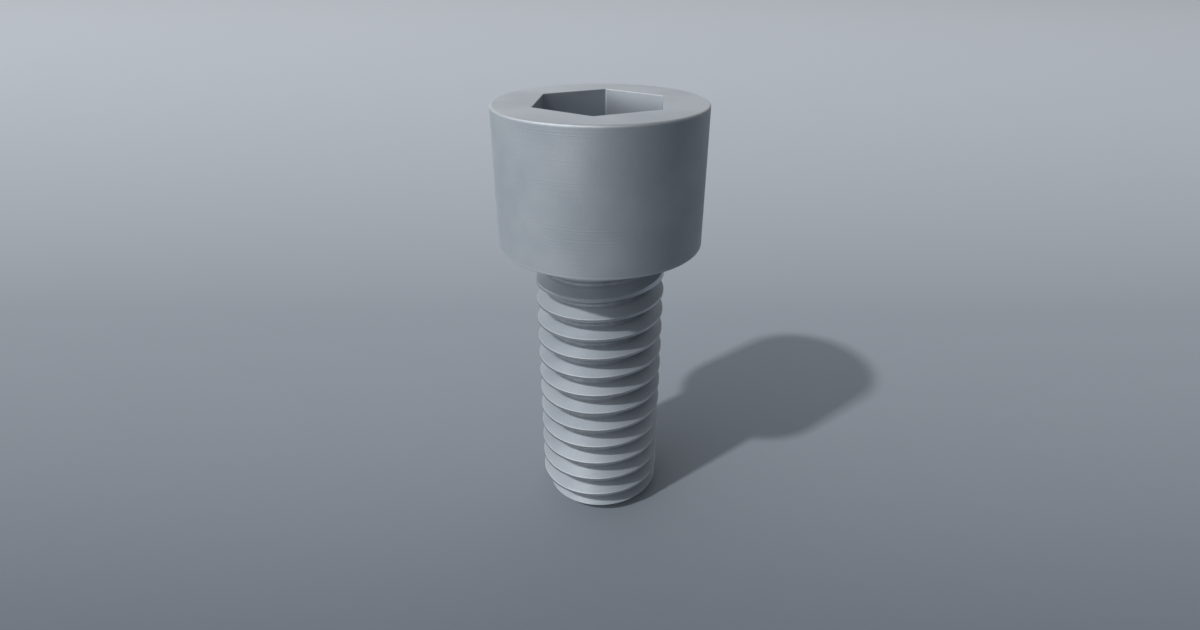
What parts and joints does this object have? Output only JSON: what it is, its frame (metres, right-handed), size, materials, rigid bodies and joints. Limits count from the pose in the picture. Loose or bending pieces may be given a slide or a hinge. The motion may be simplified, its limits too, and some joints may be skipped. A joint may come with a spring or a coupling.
{
  "type": "socket head cap screw",
  "caption": "Socket head cap screw with a plain cylindrical head, a hexagon socket, a right-hand thread up to the head and a chamfered flat end. It stands on that end.",
  "frame": {"origin": "centre of the flat end of the thread, on the surface the screw stands on", "axes": "+Z along the screw's axis from the thread's end towards the head; the picture looks along +Y with +X to the right"},
  "size_m": [0.0166, 0.0166, 0.0365],
  "materials": {
    "plated_steel": "satin zinc-plated steel"
  },
  "bodies": {
    "root": {"cap_screw": "plated_steel"}
  },
  "joints": []
}
